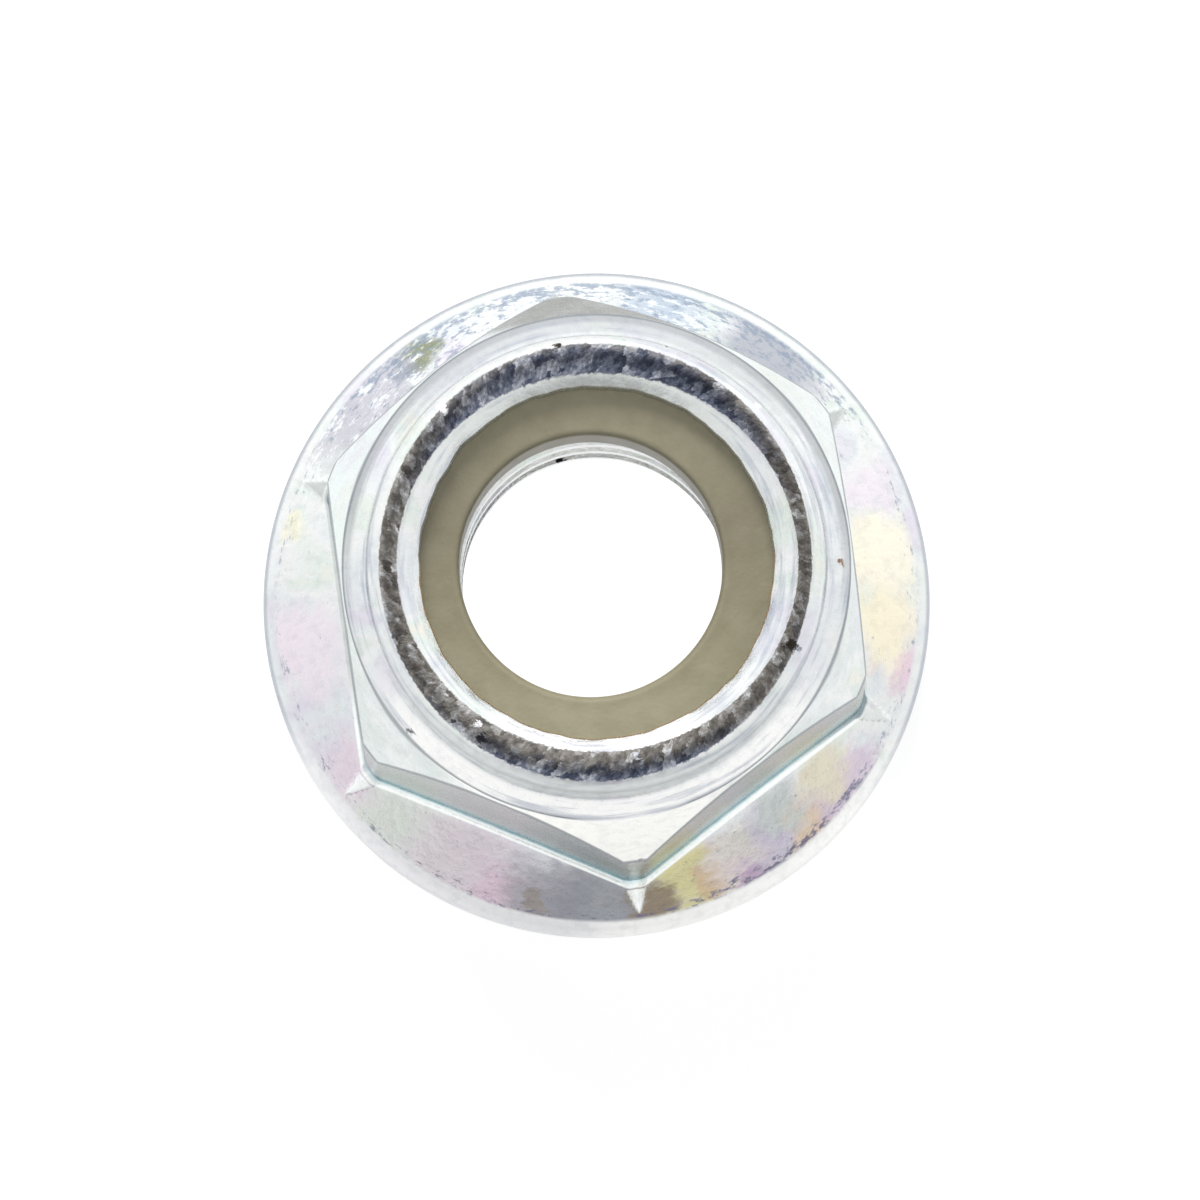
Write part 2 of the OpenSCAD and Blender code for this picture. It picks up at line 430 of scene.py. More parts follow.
speck = node(tree, "ShaderNodeTexNoise", {"Vector": swept.outputs[0], "Scale": 1 / SPECK_W,
                                          "Detail": 8.0, "Roughness": 0.66})
smear_place = node(tree, "ShaderNodeMapping", {"Vector": swept.outputs[0], "Scale": (0.4, 0.4, 3)})
smear = node(tree, "ShaderNodeTexNoise", {"Vector": smear_place.outputs[0], "Scale": 1 / SMEAR_W,
                                          "Detail": 6.0})
skew = node(tree, "ShaderNodeMath", {0: radius.outputs["Value"], 1: 0.07}, operation="MULTIPLY")
slanted = node(tree, "ShaderNodeVectorRotate", {"Vector": unit.outputs[0],
                                                "Angle": skew.outputs[0]}, rotation_type="Z_AXIS")
combed = node(tree, "ShaderNodeVectorMath", {0: slanted.outputs[0], 1: (5.2, 5.2, 0),
                                             2: outward.outputs[0]}, operation="MULTIPLY_ADD")
hatch_place = node(tree, "ShaderNodeMapping", {"Vector": combed.outputs[0],
                                               "Scale": (1, 1, 0.85), "Location": (3, 1, 7)})
hatch = node(tree, "ShaderNodeTexNoise", {"Vector": hatch_place.outputs[0], "Scale": 1 / HATCH_W,
                                          "Detail": 6.0, "Roughness": 0.66})
jumble = node(tree, "ShaderNodeVectorMath", {0: hatch.outputs["Color"], 1: (0.3, 0.3, 0.3),
                                             2: combed.outputs[0]}, operation="MULTIPLY_ADD")
chips = node(tree, "ShaderNodeTexVoronoi", {"Vector": jumble.outputs[0], "Scale": 1 / CHIP_W})
chip = node(tree, "ShaderNodeSeparateXYZ", {0: chips.outputs["Color"]})

# tints on the flange, each by its place along the photograph's axes and its reach, in
# millimetres, with edges that the sweep has blown about
BLOWN_MM = 1.2
TINT_STRENGTH = 0.85
# The two greys along the front, at (-1.4, -7.8) and (0.2, -7.9), are a painted dark reflection.
TINTS_AND_PAINTED_REFLECTION = (
    # rear left: lilac grey with an olive fleck
    (-6.2, 5.2, 2.4, "#BCBBC4"), (-4.6, 6.5, 0.75, "#7C8260"), (-4.9, 6.1, 0.6, "#9A9EAA"),
    # left: cream, pink and a little green
    (-7.9, 1.9, 0.6, "#E6E4CE"), (-7.6, -1.2, 1.7, "#E2D8E0"), (-5.4, -5.4, 1.5, "#CFD4CE"),
    # front left: rose, running into the painted dark reflection along the front
    (-6.3, -4.4, 1.2, "#D9CBD6"), (-3.5, -7.0, 2.2, "#CFC5CC"), (-2.6, -7.6, 0.9, "#D2BDCB"),
    (-1.4, -7.8, 1.5, "#9C98A1"), (0.2, -7.9, 2.1, "#888A93"), (-1.5, -7.9, 0.4, "#938C87"),
    # front right: yellow, brown, mauve, blue and sand
    (2.3, -7.1, 1.3, "#CBC38C"), (1.5, -8.0, 0.8, "#877762"), (3.0, -7.2, 0.6, "#C7AE90"),
    (3.9, -6.8, 1.4, "#D6CCC9"), (4.1, -7.2, 0.7, "#B49CB8"), (4.9, -6.0, 1.6, "#C0BACB"),
    (3.6, -6.2, 0.6, "#CFCDC6"), (5.6, -5.9, 1.0, "#D9C3A8"), (4.7, -5.4, 0.9, "#C0C8C4"),
    (6.3, -5.2, 1.1, "#C5B5CF"), (5.9, -4.6, 1.1, "#DAD3BC"), (6.9, -4.4, 1.0, "#D0C2D2"),
    # right: straw yellow between pinks
    (8.0, -1.8, 0.8, "#DCC4D2"), (7.3, 1.2, 1.4, "#F1EBD8"), (7.5, -0.6, 1.4, "#F0E7CC"),
    (7.0, 2.9, 1.0, "#E2DAE2"),
    # rear: grey on the right, pale blue in the middle
    (4.5, 6.4, 2.1, "#A3A6B0"), (1.6, 7.5, 1.6, "#B2BECB"))
blown = node(tree, "ShaderNodeVectorMath", {0: wander.outputs["Color"],
                                            1: (2 * BLOWN_MM, 2 * BLOWN_MM, 0),
                                            2: (-BLOWN_MM, -BLOWN_MM, 0)},
             operation="MULTIPLY_ADD")
plan = node(tree, "ShaderNodeVectorMath", {0: level.outputs[0], 1: blown.outputs[0]},
            operation="ADD")
colour = plate.outputs["Color"]
for x, y, reach, code in TINTS_AND_PAINTED_REFLECTION:
    away = node(tree, "ShaderNodeVectorMath", {0: plan.outputs[0], 1: (x, y, 0)},
                operation="DISTANCE")
    near = node(tree, "ShaderNodeMapRange", {"Value": away.outputs["Value"], "From Min": reach,
                                             "From Max": reach * 0.35, "To Max": TINT_STRENGTH},
                interpolation_type="SMOOTHSTEP")
    colour = node(tree, "ShaderNodeMix", {"Factor": near.outputs[0], 6: colour, 7: linear(code)},
                  data_type="RGBA").outputs[2]

# masks: marks kept on the mesh, and spans over which a value runs from nothing to the most. X and
# Y are those of the direction from the axis; y, z, r and rise are in millimetres.
MARKS = ("flange_top", "flank", "corner", "rise", "crease", "burnish_and_reflection")
mask = {name: node(tree, "ShaderNodeAttribute", attribute_name=name).outputs["Fac"]
        for name in MARKS}
value = {"X": toward.outputs["X"], "Y": toward.outputs["Y"], "r": radius.outputs["Value"],
         "z": axes.outputs["Z"], "y": axes.outputs["Y"], "wander": wander.outputs["Fac"],
         "torn": torn.outputs["Fac"], "rise": mask["rise"], "smear": smear.outputs["Fac"]}
SPANS = (
    # by direction
    ("foremost", "Y", -0.78, -0.93, 1), ("front", "Y", -0.3, -0.75, 1),
    ("behind", "Y", -0.75, -0.3, 1), ("sideways", "Y", -0.5, -0.25, 0.85),
    ("rear", "Y", -0.3, 0.3, 0.8), ("near_half", "Y", 0.15, -0.15, 1),
    ("rearward", "Y", 0.1, 0.6, 1), ("back", "Y", 0.45, 0.8, 1),
    ("left", "X", 0.1, -0.1, 0.7), ("inboard", "X", 0.5, 0.3, 1),
    # by place on the flange, from its edge inwards
    ("edge", "r", 8.5, 8.6, 1), ("lit", "r", 8.25, 8.4, 1), ("rim", "r", 7.9, 8.3, 1),
    ("foot", "r", 7.6, 7.45, 1),
    # by place on the hexagon, from its foot upwards
    ("low", "z", 3.0, 2.6, 1), ("steep", "rise", 0.04, 0.09, 1),
    ("upper", "rise", 0.5, 1.2, 1), ("far", "y", 5.7, 6.4, 0.95),
    # by place on the shoulder and the collar, from outside inwards
    ("above", "z", 9.5, 9.56, 1), ("outer", "r", 6.1, 6.25, 1), ("ledge", "r", 5.85, 6.0, 1),
    ("ring", "r", 5.78, 5.95, 0.6), ("wall_end", "r", 5.89, 5.82, 1),
    ("wall", "r", 5.54, 5.62, 1), ("lip", "r", 4.98, 4.9, 1), ("in", "r", 4.6, 4.55, 1),
    ("lip_low", "z", 10.455, 10.43, 1), ("lip_high", "z", 10.33, 10.36, 1),
    # by pattern
    ("mottle", "wander", 0.62, 0.42, 0.95), ("glint_flecks", "torn", 0.5, 0.6, 0.75),
    ("smears", "smear", 0.5, 0.7, 0.65))
for name, source, start, end, most in SPANS:
    mask[name] = node(tree, "ShaderNodeMapRange", {"Value": value[source], "From Min": start,
                                                   "From Max": end, "To Max": most},
                      interpolation_type="SMOOTHSTEP").outputs[0]

# specks where the plate is thin, most of them at the back of the flange, along its edge, and round
# a scuffed place at the front right
SCUFF_AT = (5.6, -6.2, 0)
SCUFF_REACH = 4.4
worn = node(tree, "ShaderNodeMath", {0: mask["back"], 1: 0.12}, operation="MULTIPLY")
worn = node(tree, "ShaderNodeMath", {0: mask["rim"], 1: 0.1, 2: worn.outputs[0]},
            operation="MULTIPLY_ADD")
away = node(tree, "ShaderNodeVectorMath", {0: level.outputs[0], 1: SCUFF_AT},
            operation="DISTANCE")
scuffed = node(tree, "ShaderNodeMapRange", {"Value": away.outputs["Value"],
                                            "From Min": SCUFF_REACH, "From Max": 2.6,
                                            "To Max": 0.1})
worn = node(tree, "ShaderNodeMath", {0: scuffed.outputs[0], 1: mask["rim"], 2: worn.outputs[0]},
            operation="MULTIPLY_ADD")
speck_sum = node(tree, "ShaderNodeMath", {0: speck.outputs["Fac"], 1: worn.outputs[0]},
                 operation="ADD")
mask["specks"] = node(tree, "ShaderNodeMapRange", {"Value": speck_sum.outputs[0],
                                                   "From Min": 0.64, "From Max": 0.74,
                                                   "To Max": 0.75}).outputs[0]

# the flats by height over their foot: a bright foot, which is a painted highlight on the blend, a
# blue-green band where the coating pooled, and grey above, the zinc darkened by a painted
# reflection. From 0 to 1 is about 8 mm of height, and the grain makes the edges uneven.
SIDE_GREY = ((0.008, "#F4F8F6"), (0.018, "#CFE2E4"), (0.032, "#6CA1AF"), (0.12, "#8DB5BD"),
             (0.22, "#BFCAC4"), (0.34, "#ABB3A8"), (0.65, "#B1B1B1"), (0.9, "#A9ADA8"))
uneven = node(tree, "ShaderNodeMath", {0: grain.outputs["Fac"], 1: 0.12, 2: 0.065},
              operation="MULTIPLY_ADD")
up = node(tree, "ShaderNodeMath", {0: mask["rise"], 1: uneven.outputs[0]}, operation="MULTIPLY")
side = node(tree, "ShaderNodeValToRGB", {"Fac": up.outputs[0]}, stops=SIDE_GREY)

# the rubbed band: blue-black and brown chips, finely hatched, its darkness partly the tool's
# burnish and partly a painted reflection of the dark slot overhead. It is brown at the sides, and
# from this radius outwards at the back and inwards at the front.
BROWN_FROM_R = 5.22
BLUE = ((0.3, "#343948"), (0.42, "#4F5566"), (0.55, "#757A89"), (0.66, "#A6AAB4"),
        (0.76, "#D5D8DD"))
BROWN = ((0.3, "#524F4B"), (0.42, "#6F6B67"), (0.54, "#898580"), (0.64, "#A5A4A3"),
         (0.74, "#D8DADC"))
tone = node(tree, "ShaderNodeMath", {0: chip.outputs["X"], 1: 0.3}, operation="MULTIPLY")
tone = node(tree, "ShaderNodeMath", {0: hatch.outputs["Fac"], 1: 0.7, 2: tone.outputs[0]},
            operation="MULTIPLY_ADD")
blue = node(tree, "ShaderNodeValToRGB", {"Fac": tone.outputs[0]}, stops=BLUE)
brown = node(tree, "ShaderNodeValToRGB", {"Fac": tone.outputs[0]}, stops=BROWN)
fore_aft = node(tree, "ShaderNodeMath", {0: toward.outputs["Y"], 1: toward.outputs["Y"]},
                operation="MULTIPLY")
across = node(tree, "ShaderNodeMath", {0: radius.outputs["Value"], 1: BROWN_FROM_R},
              operation="SUBTRACT")
across = node(tree, "ShaderNodeMath", {0: across.outputs[0], 1: toward.outputs["Y"]},
              operation="MULTIPLY")
browner = node(tree, "ShaderNodeMath", {0: across.outputs[0], 1: 3.0, 2: 0.9},
               operation="MULTIPLY_ADD")
browner = node(tree, "ShaderNodeMath", {0: fore_aft.outputs[0], 1: -1.3, 2: browner.outputs[0]},
               operation="MULTIPLY_ADD")
browner = node(tree, "ShaderNodeMath", {0: mask["front"], 1: 0.6, 2: browner.outputs[0]},
               operation="MULTIPLY_ADD")
browner = node(tree, "ShaderNodeMath", {0: chip.outputs["Y"], 1: 0.5, 2: browner.outputs[0]},
               operation="MULTIPLY_ADD", use_clamp=True)
dark = node(tree, "ShaderNodeMix", {"Factor": browner.outputs[0], 6: blue.outputs["Color"],
                                    7: brown.outputs["Color"]}, data_type="RGBA")
ragged = node(tree, "ShaderNodeMath", {0: hatch.outputs["Fac"], 1: 0.5, 2: mask["burnish_and_reflection"]},
              operation="MULTIPLY_ADD")
mask["band"] = node(tree, "ShaderNodeMapRange", {"Value": ragged.outputs[0], "From Min": 0.28,
                                                 "From Max": 0.41},
                    interpolation_type="SMOOTHSTEP").outputs[0]

# layers from the coating up, each lying where all its masks hold; many of them are painted
# reflections, highlights and shade
LAYERS = (
    # the flats: painted light and shade. The upper left flats and all but the front ones are
    # painted lighter, and a painted shade line runs along the foot of the side and rear flats.
    (("flank",), side.outputs["Color"]),
    (("flank", "left", "upper"), "#C0C8C6"),
    (("flank", "sideways"), "#BCC1BF"),
    (("flank", "behind", "low", "foot", "steep"), "#84949A"),
    # the flange: the white flecks at the rear are painted highlights, the specks turn darker and
    # more violet at the front, the grey along the edge at the sides and back is painted shade, and
    # the pale band along the front of the rim is a painted highlight, a little dimmer on the left
    (("flange_top", "glint_flecks", "rearward", "inboard"), "#F2F6F8"),
    (("flange_top", "specks"), "#8492A5"),
    (("flange_top", "specks", "front"), "#6F667A"),
    (("edge", "behind"), "#B0B5BC"),
    (("lit", "front"), "#F8F8F6"),
    (("lit", "front", "left"), "#DEDEE3"),
    # the steep corners under the shoulder: painted reflections over their mottle, the mottle
    # lighter at the rear, the foremost corner white and the farthest one dark grey
    (("corner", "mottle", "near_half"), "#CAD2CF"),
    (("corner", "mottle", "rear"), "#DCE8E6"),
    (("corner", "foremost"), "#F6F6F2"),
    (("corner", "far"), "#828583"),
    (("corner", "far", "mottle"), "#6B6E68"),
    # the shoulder and the collar: painted reflections, highlights and shade: grey bands on the
    # shoulder at the back, a white ledge, a grey collar wall and a white lip at the front, and the
    # lip greyer at the back
    (("ring", "above", "back"), "#AEB1B4"),
    (("outer", "above", "rear"), "#A6A9AC"),
    (("ledge", "above", "front"), "#F3F3F2"),
    (("wall", "wall_end", "front", "above"), "#D8DBDB"),
    (("lip", "above", "foremost"), "#F4F4F4"),
    (("lip", "above", "back"), "#D4D8D6"),
    (("above", "smears"), "#A7AEBA"),
    # painted shade in the creases along the brims and the shoulder
    (("crease",), "#7C8388"),
    # the band: the tool's burnish and a painted dark reflection
    (("band",), dark.outputs[2]),
    # a painted warm reflection of the nylon in the lip's rounded edge
    (("in", "lip_low", "lip_high", "near_half"), "#FFD9A8"))
colour = node(tree, "ShaderNodeMix", {"Factor": mask["flange_top"], 6: plate.outputs["Color"],
                                      7: colour}, data_type="RGBA").outputs[2]
for names, paint in LAYERS:
    share = mask[names[0]]
    for name in names[1:]:
        share = node(tree, "ShaderNodeMath", {0: share, 1: mask[name]},
                     operation="MULTIPLY").outputs[0]
    paint = linear(paint) if isinstance(paint, str) else paint
    colour = node(tree, "ShaderNodeMix", {"Factor": share, 6: colour, 7: paint},
                  data_type="RGBA").outputs[2]

# marks of wear and of painted light and shade, each at its own place and reach in millimetres
WEAR_AND_PAINTED_LIGHT = (
    # a rusty speck on the left of the flange, and lilac and a dark spot in the bore
    (-7.8, 0.07, 2.0, 0.1, "#C08A94"), (-2.6, 2.6, 7.6, 0.6, "#DFC8DA"),
    (2.2, 2.9, 7.6, 0.6, "#DFC8DA"), (-0.93, 3.33, 4.4, 0.16, "#1E1E22"),
    # a dent in the crest on the right, drawn in colour alone: painted shade in it, with a painted
    # highlight on one side and painted shade on the other
    (4.88, -2.13, 10.75, 0.17, "#3A352F"), (5.07, -2.2, 10.75, 0.1, "#858D9A"),
    (5.2, -2.28, 10.72, 0.09, "#3A3F4A"),
    # painted glints on nicks in the crest, one of them beside a dark scar
    (4.05, 3.91, 10.6, 0.13, "#F6F6F8"), (-3.81, 3.81, 10.75, 0.15, "#F6F6F8"),
    (-2.84, -4.46, 10.72, 0.2, "#33353D"), (-2.94, -4.06, 10.75, 0.1, "#F6F6F8"),
    (1.0, -4.84, 10.75, 0.07, "#C6CCD8"), (1.06, -4.98, 10.75, 0.07, "#C6CCD8"),
    (1.14, -5.12, 10.75, 0.07, "#B6BCC8"),
    # brown and grey specks on the collar, the shoulder and the front corner
    (5.58, 1.55, 10.3, 0.12, "#7A5548"), (-0.95, 5.41, 10.7, 0.13, "#3A3430"),
    (6.1, 0.1, 9.72, 0.1, "#8A6F60"), (1.77, 5.5, 10.5, 0.1, "#6A5A50"),
    (-4.7, -4.2, 9.7, 0.1, "#7C7C80"), (1.1, -7.1, 6.9, 0.12, "#8C8C8C"))
dither = node(tree, "ShaderNodeVectorMath", {0: torn.outputs["Color"], 1: (0.7, 0.7, 0),
                                             2: (-0.35, -0.35, 0)}, operation="MULTIPLY_ADD")
spot = node(tree, "ShaderNodeVectorMath", {0: mm, 1: dither.outputs[0]}, operation="ADD")
for x, y, z, reach, code in WEAR_AND_PAINTED_LIGHT:
    away = node(tree, "ShaderNodeVectorMath", {0: spot.outputs[0], 1: (x, y, z)},
                operation="DISTANCE")
    near = node(tree, "ShaderNodeMapRange", {"Value": away.outputs["Value"], "From Min": reach,
                                             "From Max": reach * 0.6},
                interpolation_type="SMOOTHSTEP")
    colour = node(tree, "ShaderNodeMix", {"Factor": near.outputs[0], 6: colour, 7: linear(code)},
                  data_type="RGBA").outputs[2]

# fine grain over all of it, in the colour, the gloss and the relief
mat = node(tree, "ShaderNodeValToRGB", {"Fac": grain.outputs["Fac"]},
           stops=((0.36, "#D2D4D9"), (0.52, "#FFFFFF")))
colour = node(tree, "ShaderNodeMix", {"Factor": 0.25, 6: colour, 7: mat.outputs["Color"]},
              data_type="RGBA", blend_type="MULTIPLY").outputs[2]
dull = node(tree, "ShaderNodeMath", {0: mask["wall"], 1: mask["front"]}, operation="MULTIPLY")
gloss = node(tree, "ShaderNodeMapRange", {"Value": grain.outputs["Fac"], "From Min": 0.35,
                                          "From Max": 0.65, "To Min": 0.24, "To Max": 0.31})
hazy = node(tree, "ShaderNodeMath", {0: mask["wall_end"], 1: mask["lit"]}, operation="MAXIMUM")
dull = node(tree, "ShaderNodeMath", {0: dull.outputs[0], 1: hazy.outputs[0]},
            operation="MULTIPLY")
rough = node(tree, "ShaderNodeMix", {"Factor": dull.outputs[0], 2: gloss.outputs[0], 3: 0.55},
             data_type="FLOAT")
drag_place = node(tree, "ShaderNodeMapping", {"Vector": mm, "Scale": (1, 1, 0.25)})
drag = node(tree, "ShaderNodeTexNoise", {"Vector": drag_place.outputs[0], "Scale": 1 / DRAG_W,
                                         "Detail": 3.0, "Distortion": 0.4})
dragged = node(tree, "ShaderNodeMath", {0: drag.outputs["Fac"], 1: mask["corner"]},
               operation="MULTIPLY")
height = node(tree, "ShaderNodeMath", {0: dragged.outputs[0], 1: 0.7, 2: grain.outputs["Fac"]},
              operation="MULTIPLY_ADD")
hatched = node(tree, "ShaderNodeMath", {0: hatch.outputs["Fac"], 1: mask["band"]},
               operation="MULTIPLY")
height = node(tree, "ShaderNodeMath", {0: hatched.outputs[0], 1: 0.8, 2: height.outputs[0]},
              operation="MULTIPLY_ADD")
relief = node(tree, "ShaderNodeBump", {"Height": height.outputs[0], "Strength": 0.2,
                                       "Distance": 0.1 * MM})
coat = node(tree, "ShaderNodeBsdfPrincipled", {"Base Color": colour, "Metallic": 1.0,
                                               "Roughness": rough.outputs[0],
                                               "Normal": relief.outputs["Normal"]})
tree.links.new(coat.outputs["BSDF"], output.inputs["Surface"])
steel.data.materials.append(zinc)

# Nylon ring
# A stamped ring of natural polyamide that has aged to an olive beige. It lies in the pocket under
# the crimped lip, and its hole is a little smaller than the thread and slightly off centre.
RING_R = 5.02
RING_HOLE_R = 3.3
RING_EDGE_R = 0.2
RING_SHIFT = 0.14
RING_DISH = 0.12
# The shallow dish round the hole, by distance outside the hole and depth below the ring's top, and
# the heights of the mesh's rows down the hole's wall
DISH = ((1.0, 0), (0.8, 0.02), (0.5, 0.075))
HOLE_ROWS = (9.4, 9.0, 8.6, SEAT_H)
turn = math.radians(180 - VIEW_TURN)
ring_theta = np.linspace(0, 2 * math.pi, 241)
rows = [(RING_R, SEAT_H), (RING_R, RING_TOP)]
hole = [(RING_HOLE_R + out, RING_TOP - deep) for out, deep in DISH]
edge = arc((RING_HOLE_R + RING_EDGE_R, RING_TOP - RING_DISH - RING_EDGE_R), RING_EDGE_R, 82, 180, 9)
hole += list(zip(*edge))
hole += [(RING_HOLE_R, z) for z in HOLE_ROWS]
ring_x = np.array([r * np.cos(ring_theta) for r, z in rows]
                  + [r * np.cos(ring_theta) + RING_SHIFT * math.cos(turn) for r, z in hole])
ring_y = np.array([r * np.sin(ring_theta) for r, z in rows]
                  + [r * np.sin(ring_theta) + RING_SHIFT * math.sin(turn) for r, z in hole])
ring_z = np.array([np.full_like(ring_theta, z) for r, z in rows + hole])
nylon_ring = shell("nylon_insert", np.hypot(ring_x, ring_y), ring_z, np.arctan2(ring_y, ring_x))
nylon_ring.data.set_sharp_from_angle(angle=math.radians(38))
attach(nylon_ring, "root")
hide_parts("nylon_ring")

# Natural polyamide, cut with a blunt edge and aged: a dull skin with faint clouds. Its tone from
# front to back is painted light and shade: a shade darker through the middle, where the lamp falls
# straight on it, and palest at the far side, which lies in the lip's shadow. Widths of its
# patterns, and how far its painted shading runs to front and back, in millimetres. Its fine pits
# are drawn coarser than real, so that they show.
NYLON_CLOUD_W = 5 / 8
PIT_W = 1 / 9
SHADED_HALF = 4.4
nylon, tree, output = new_material("polyamide_aged_beige")
mm = turned_mm(tree)
axes = node(tree, "ShaderNodeSeparateXYZ", {0: mm})
depth = node(tree, "ShaderNodeMapRange", {"Value": axes.outputs["Y"], "From Min": -SHADED_HALF,
                                          "From Max": SHADED_HALF})
aged_tone_and_painted_light = node(tree, "ShaderNodeValToRGB", {"Fac": depth.outputs[0]},
            stops=((0.0, "#99937C"), (0.28, "#8D8770"), (0.62, "#87816C"), (1.0, "#A19B83")))
haze = node(tree, "ShaderNodeTexNoise", {"Vector": mm, "Scale": 1 / NYLON_CLOUD_W,
                                         "Detail": 6.0, "Roughness": 0.6})
cloudy = node(tree, "ShaderNodeValToRGB", {"Fac": haze.outputs["Fac"]},
              stops=((0.32, "#EFEEEA"), (0.5, "#F7F7F5"), (0.68, "#FFFFFF")))
colour = node(tree, "ShaderNodeMix", {"Factor": 1.0, 6: aged_tone_and_painted_light.outputs["Color"],
                                      7: cloudy.outputs["Color"]}, data_type="RGBA",
              blend_type="MULTIPLY").outputs[2]
pits = node(tree, "ShaderNodeTexNoise", {"Vector": mm, "Scale": 1 / PIT_W, "Detail": 4.0})
sheen = node(tree, "ShaderNodeMapRange", {"Value": haze.outputs["Fac"], "From Min": 0.3,
                                          "From Max": 0.7, "To Min": 0.38, "To Max": 0.48})
pitted = node(tree, "ShaderNodeBump", {"Height": pits.outputs["Fac"], "Strength": 0.25,
                                       "Distance": 0.05 * MM})
skin = node(tree, "ShaderNodeBsdfPrincipled", {"Base Color": colour, "IOR": 1.53,
                                               "Roughness": sheen.outputs[0],
                                               "Normal": pitted.outputs["Normal"]})
tree.links.new(skin.outputs["BSDF"], output.inputs["Surface"])
nylon_ring.data.materials.append(nylon)

# Camera
# A long lens straight over the nut, leaned a little towards the front. The photograph is taken to
# be 1200 pixels wide and high.
FRAME_PX = 1200
FOCAL_PX = 9367
DISTANCE = 239.4
LEAN = math.radians(6.44)
AIM = (0.089, -0.333, 5.0)
SENSOR = 36.0
spin = math.radians(-VIEW_TURN)


def to_part(x, y, z):
    """A point given along the photograph's own axes, turned into the part's frame, in metres."""
    return (MM * (x * math.cos(spin) - y * math.sin(spin)),
            MM * (x * math.sin(spin) + y * math.cos(spin)), MM * z)


lens = bpy.data.cameras.new("camera")
lens.sensor_width = SENSOR
lens.lens = FOCAL_PX / FRAME_PX * SENSOR
lens.clip_start = 0.01
lens.clip_end = 10
camera = bpy.data.objects.new("camera", lens)
bpy.context.scene.collection.objects.link(camera)
camera.location = to_part(AIM[0], AIM[1] - DISTANCE * math.sin(LEAN),
                          AIM[2] + DISTANCE * math.cos(LEAN))
camera.rotation_euler = (LEAN, 0, spin)
bpy.context.scene.camera = camera

# Floor
# A white table, a hair below the bearing face. It is lit through the nut's hole, as on a light
# table, and keeps the nut's shadow.
FLOOR_HALF = 1500 * MM
FLOOR_DROP = 0.02 * MM
FLOOR_GREY = 0.42
FLOOR_LIFT = 0.755
floor_mesh = bpy.data.meshes.new("floor")
floor_mesh.from_pydata([(x * FLOOR_HALF, y * FLOOR_HALF, 0)
                        for x, y in ((-1, -1), (1, -1), (1, 1), (-1, 1))], [], [(0, 1, 2, 3)])
floor = bpy.data.objects.new("floor", floor_mesh)
floor.location.z = -FLOOR_DROP
bpy.context.scene.collection.objects.link(floor)
white, tree, output = new_material("white_table")
path = node(tree, "ShaderNodeLightPath")
seen = node(tree, "ShaderNodeMath", {0: path.outputs["Is Camera Ray"],
                                     1: path.outputs["Is Glossy Ray"]}, operation="MAXIMUM")
seen = node(tree, "ShaderNodeMath", {0: seen.outputs[0], 1: path.outputs["Is Transmission Ray"]},
            operation="MAXIMUM")
place = node(tree, "ShaderNodeTexCoord")
away = node(tree, "ShaderNodeVectorMath", {0: place.outputs["Object"]}, operation="LENGTH")
under = node(tree, "ShaderNodeMath", {0: away.outputs["Value"], 1: COUNTERSINK_R * MM},
             operation="LESS_THAN")
base = node(tree, "ShaderNodeBsdfDiffuse", {"Color": (FLOOR_GREY, FLOOR_GREY, FLOOR_GREY, 1)})
lift = node(tree, "ShaderNodeMath", {0: seen.outputs[0], 1: FLOOR_LIFT}, operation="MULTIPLY")
glow = node(tree, "ShaderNodeMath", {0: lift.outputs[0], 1: under.outputs[0]}, operation="MAXIMUM")
light = node(tree, "ShaderNodeEmission", {"Strength": glow.outputs[0]})
both = node(tree, "ShaderNodeAddShader", {0: base.outputs[0], 1: light.outputs[0]})
tree.links.new(both.outputs[0], output.inputs["Surface"])
floor_mesh.materials.append(white)

# Light
# A white tent all round, with a dark slot overhead, where the camera looks in, and one soft lamp
# behind the nut on the left. The slot shows in the metal alone, and the camera sees plain white.
# The slot's edges and the shade low in front are soft, from the first value to the second.
SLOT_X = (0.2, 0.5)
SLOT_Y = (0.22, 0.52)
SLOT_SHIFT = 0.05
SLOT_LIGHT = 0.32
TENT_LIGHT = 1.15
REAR_LIGHT = 0.5
NEAR_Y = (-0.74, -0.96)
NEAR_SHADE = 0.6
SOFT_SHARE = 0.5
world = bpy.data.worlds.new("tent")
bpy.context.scene.world = world
world.use_nodes = True
tree = world.node_tree
tree.nodes.clear()
output = tree.nodes.new("ShaderNodeOutputWorld")
path = node(tree, "ShaderNodeLightPath")
look = node(tree, "ShaderNodeTexCoord")
turned = node(tree, "ShaderNodeMapping", {"Vector": look.outputs["Generated"],
                                          "Rotation": (0, 0, math.radians(VIEW_TURN))})
apart = node(tree, "ShaderNodeSeparateXYZ", {0: turned.outputs[0]})
across = node(tree, "ShaderNodeMath", {0: apart.outputs["X"]}, operation="ABSOLUTE")
beside = node(tree, "ShaderNodeMapRange", {"Value": across.outputs[0], "From Min": SLOT_X[0],
                                           "From Max": SLOT_X[1]},
              interpolation_type="SMOOTHSTEP")
along = node(tree, "ShaderNodeMath", {0: apart.outputs["Y"], 1: SLOT_SHIFT}, operation="ADD")
along = node(tree, "ShaderNodeMath", {0: along.outputs[0]}, operation="ABSOLUTE")
beyond = node(tree, "ShaderNodeMapRange", {"Value": along.outputs[0], "From Min": SLOT_Y[0],
                                           "From Max": SLOT_Y[1]},
              interpolation_type="SMOOTHSTEP")
open_sky = node(tree, "ShaderNodeMath", {0: beside.outputs[0], 1: beyond.outputs[0]},
                operation="MAXIMUM")
rear = node(tree, "ShaderNodeMath", {0: apart.outputs["Y"], 1: 0.0}, operation="MAXIMUM")
tent = node(tree, "ShaderNodeMath", {0: rear.outputs[0], 1: REAR_LIGHT, 2: TENT_LIGHT},
            operation="MULTIPLY_ADD")
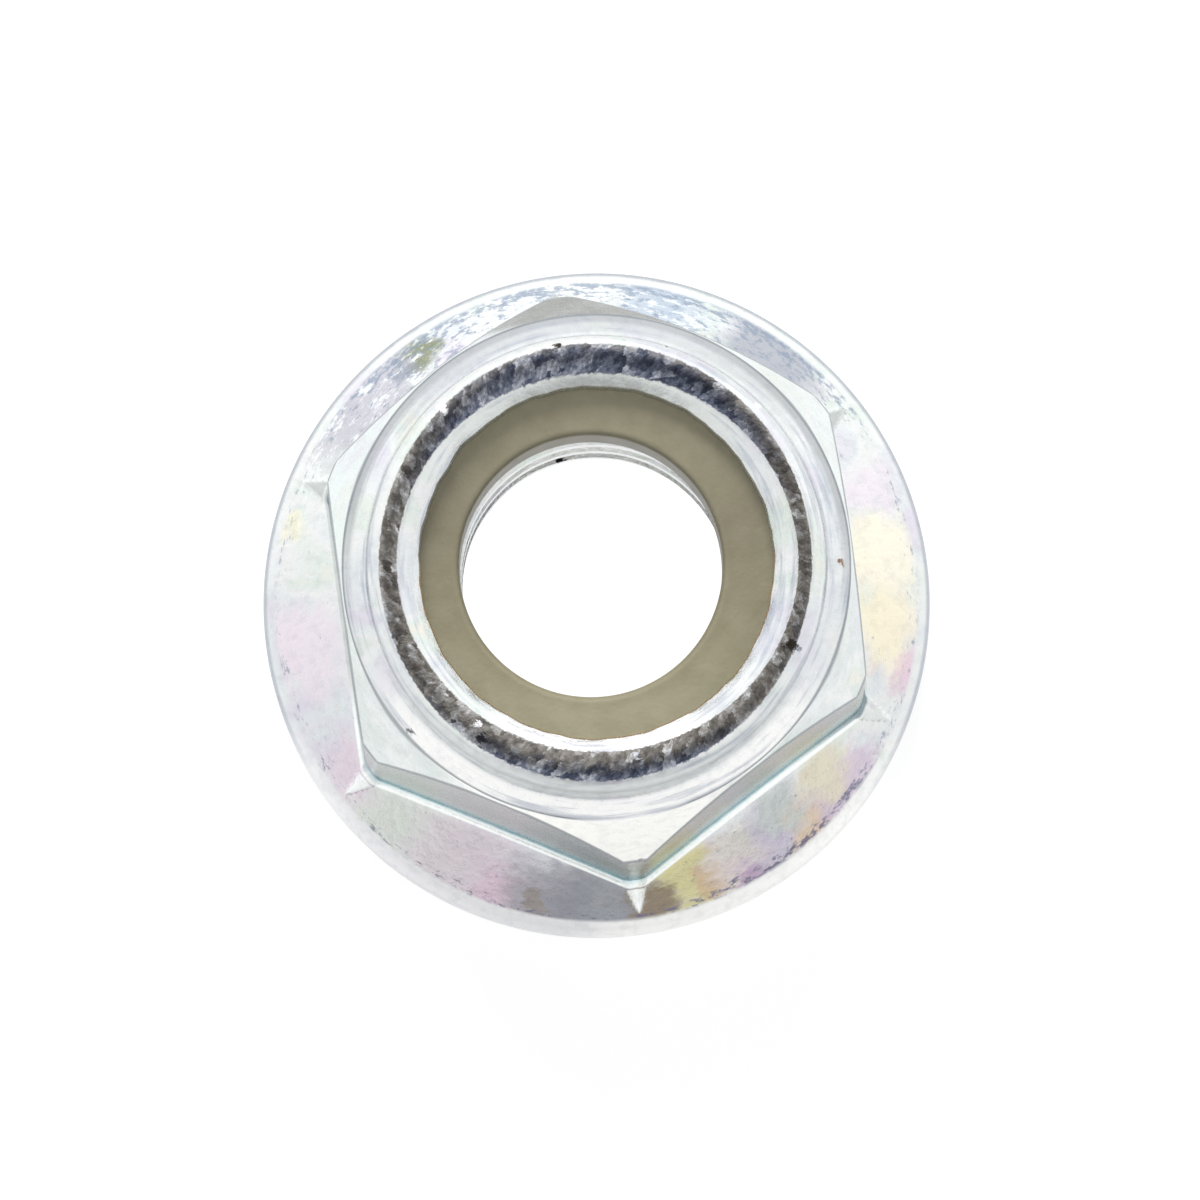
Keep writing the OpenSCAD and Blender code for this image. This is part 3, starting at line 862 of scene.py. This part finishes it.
near = node(tree, "ShaderNodeMapRange", {"Value": apart.outputs["Y"], "From Min": NEAR_Y[0],
                                         "From Max": NEAR_Y[1], "To Max": NEAR_SHADE},
            interpolation_type="SMOOTHSTEP")
tent = node(tree, "ShaderNodeMath", {0: tent.outputs[0], 1: near.outputs[0]},
            operation="SUBTRACT")
open_sky = node(tree, "ShaderNodeMapRange", {"Value": open_sky.outputs[0], "To Min": SLOT_LIGHT,
                                             "To Max": tent.outputs[0]})
soft = node(tree, "ShaderNodeMath", {0: tent.outputs[0], 1: SOFT_SHARE}, operation="MULTIPLY")
above = node(tree, "ShaderNodeMath", {0: apart.outputs["Z"], 1: 0.0}, operation="GREATER_THAN")
glossy = node(tree, "ShaderNodeMath", {0: path.outputs["Is Glossy Ray"], 1: above.outputs[0]},
              operation="MULTIPLY")
dim = node(tree, "ShaderNodeMix", {"Factor": glossy.outputs[0], 2: soft.outputs[0],
                                   3: open_sky.outputs[0]}, data_type="FLOAT")
bright = node(tree, "ShaderNodeMix", {"Factor": path.outputs["Is Camera Ray"],
                                      2: dim.outputs[0], 3: 1.0}, data_type="FLOAT")
back = node(tree, "ShaderNodeBackground", {"Color": (1, 1, 1, 1), "Strength": bright.outputs[0]})
tree.links.new(back.outputs[0], output.inputs["Surface"])

LAMP_DISTANCE = 400
LAMP_W = 220
LAMP_POWER = 1.4
LAMP_UP = math.radians(40)
LAMP_ROUND = math.radians(100)
lamp_data = bpy.data.lights.new("soft_lamp", "AREA")
lamp_data.shape = "DISK"
lamp_data.size = LAMP_W * MM
lamp_data.energy = LAMP_POWER
lamp = bpy.data.objects.new("soft_lamp", lamp_data)
lamp.visible_glossy = False
bpy.context.scene.collection.objects.link(lamp)
lamp.location = to_part(LAMP_DISTANCE * math.cos(LAMP_UP) * math.cos(LAMP_ROUND),
                        LAMP_DISTANCE * math.cos(LAMP_UP) * math.sin(LAMP_ROUND),
                        LAMP_DISTANCE * math.sin(LAMP_UP))
lamp.rotation_euler = (math.radians(90) - LAMP_UP, 0, LAMP_ROUND + spin + math.radians(90))

bpy.context.scene.view_settings.view_transform = "Standard"
